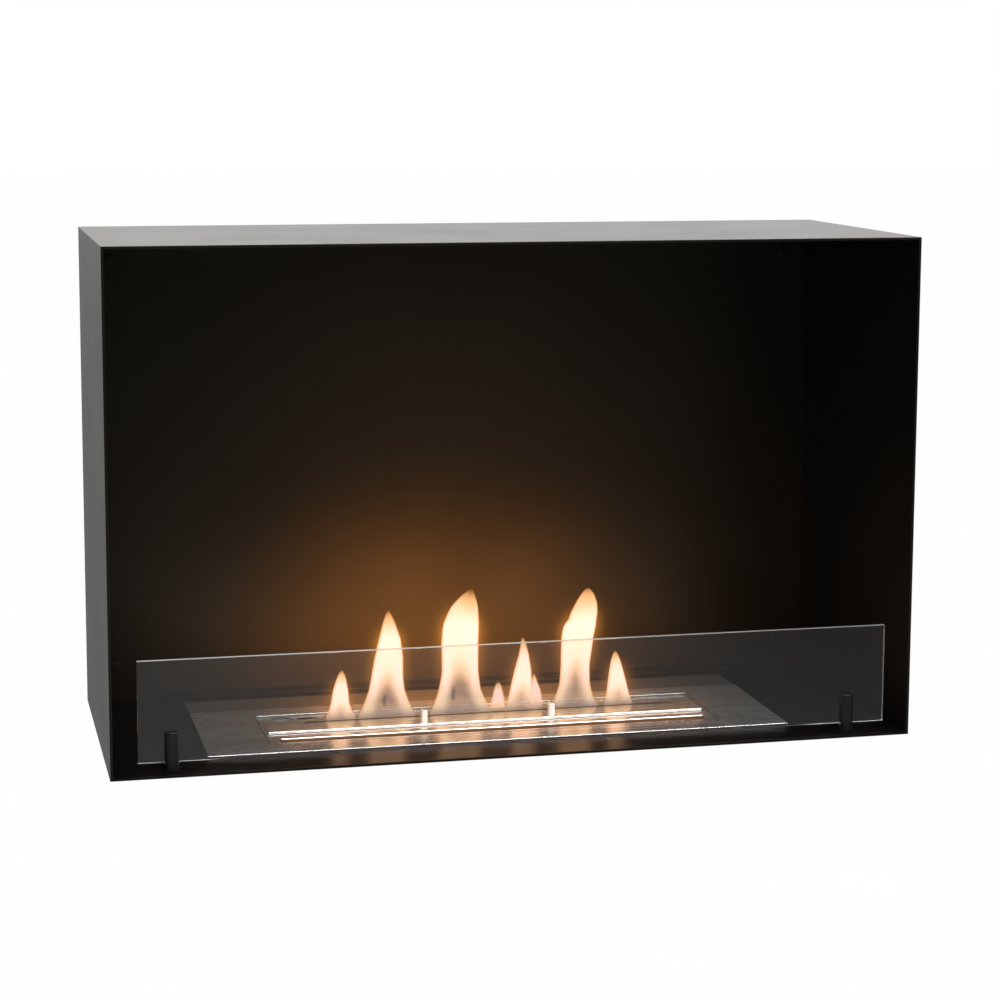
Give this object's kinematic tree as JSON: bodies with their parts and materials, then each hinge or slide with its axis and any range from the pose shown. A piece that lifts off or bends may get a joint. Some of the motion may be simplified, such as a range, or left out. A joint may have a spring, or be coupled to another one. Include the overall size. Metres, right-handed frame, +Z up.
{
  "type": "bioethanol fireplace",
  "caption": "Wall-hung open-fronted black steel fire box with a slim stainless ethanol burner in its floor, a sliding flame shutter and a low lift-out glass pane in slotted posts.",
  "frame": {"origin": "centre of the four wall fixings, on the back of the box, at its middle height", "axes": "+Y out of the back into the wall, so the open front faces -Y; +Z up; +X to the right of someone facing the fire"},
  "size_m": [0.9, 0.356, 0.587],
  "materials": {
    "casing_black": "satin black powder coat, fine texture",
    "post_black": "satin black powder coat",
    "brushed_stainless": "brushed along its length",
    "bright_stainless": "polished",
    "dark_steel": "darkened stainless, brushed along its length",
    "tank_steel": "stainless, darkened by heat",
    "pane_glass": "clear tempered, polished edges",
    "clear_silicone": "translucent silicone",
    "screw_zinc": "zinc plated",
    "ceramic_fibre": "fibrous, matt, charred on top"
  },
  "bodies": {
    "casing": {"top_panel": "casing_black", "left_side_panel": "casing_black", "right_side_panel": "casing_black", "floor_panel": "casing_black", "back_panel": "casing_black", "left_top_angle": "casing_black", "right_top_angle": "casing_black", "side_rivets": "casing_black", "glass_post_left": "post_black", "glass_post_right": "post_black", "post_screws": "screw_zinc", "glass_pads": "clear_silicone", "heat_strip": "dark_steel"},
    "glass": {"glass_pane": "pane_glass"},
    "burner": {"safety_tray": "tank_steel", "fuel_tank": "tank_steel", "tank_spacers": "tank_steel", "plate_ledges": "tank_steel", "burner_surround": "brushed_stainless", "burner_pan": "brushed_stainless", "front_air_cover": "brushed_stainless", "air_grille": "bright_stainless", "wick_tray": "tank_steel", "ceramic_wick": "ceramic_fibre", "filler_neck": "tank_steel"},
    "shutter": {"shutter_plate": "brushed_stainless", "shutter_tabs": "brushed_stainless", "shutter_guide_pins": "bright_stainless"},
    "plug": {"filler_plug": "brushed_stainless"}
  },
  "joints": [
    {"name": "glass_lift", "type": "slide", "parent": "casing", "child": "glass", "axis": [0, 0, 1], "range_m": [0, 0.06]},
    {"name": "burner_lift", "type": "slide", "parent": "casing", "child": "burner", "axis": [0, 0, 1], "range_m": [0, 0.06]},
    {"name": "shutter_slide", "type": "slide", "parent": "burner", "child": "shutter", "axis": [0, 1, 0], "range_m": [0, 0.012]},
    {"name": "plug_lift", "type": "slide", "parent": "burner", "child": "plug", "axis": [0, 0, 1], "range_m": [0, 0.03]}
  ]
}
